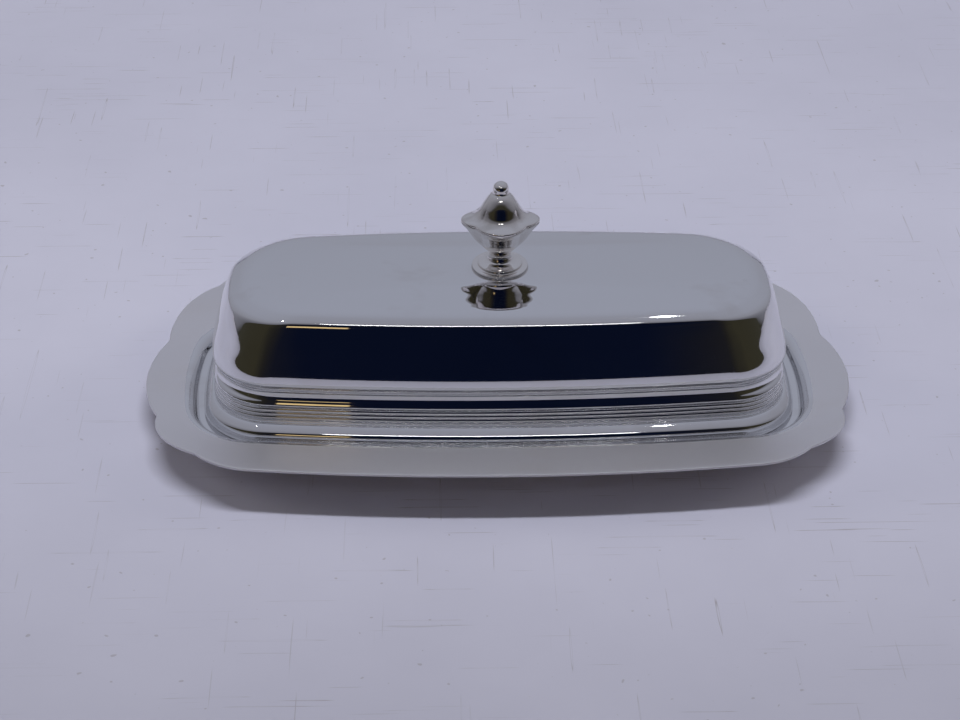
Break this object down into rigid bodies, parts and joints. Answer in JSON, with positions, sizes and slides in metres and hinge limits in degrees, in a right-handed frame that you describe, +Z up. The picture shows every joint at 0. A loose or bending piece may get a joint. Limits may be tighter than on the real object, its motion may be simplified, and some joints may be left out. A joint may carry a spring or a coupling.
{
  "type": "butter dish",
  "caption": "Covered butter dish: lobed sheet-metal tray with a sunken well, a glass liner, and a domed lift-off cover with a lobed knob.",
  "frame": {"origin": "centre of the tray's flat underside, on the surface it stands on", "axes": "+Z up, the way the cover lifts; +X along the length of the dish; +Y across it"},
  "size_m": [0.198, 0.1102, 0.0698],
  "materials": {
    "tray_plate": "silver-plated sheet, satin rim with fine wear scratches",
    "cover_plate": "silver-plated sheet, mirror bright with faint tarnish",
    "knob_plate": "silver-plated casting, bright",
    "liner_glass": "clear pressed glass",
    "steel_thread": "plain zinc-plated steel",
    "brass_nut": "plain turned brass"
  },
  "bodies": {
    "tray": {"tray": "tray_plate"},
    "liner": {"glass_liner": "liner_glass"},
    "cover": {"cover": "cover_plate", "finial": "knob_plate", "finial_stud": "steel_thread", "finial_washer": "steel_thread", "finial_nut": "brass_nut"}
  },
  "joints": [
    {"name": "liner_lift", "type": "slide", "parent": "tray", "child": "liner", "axis": [0, 0, 1], "range_m": [0, 0.06]},
    {"name": "cover_lift", "type": "slide", "parent": "liner", "child": "cover", "axis": [0, 0, 1], "range_m": [0, 0.12]}
  ]
}
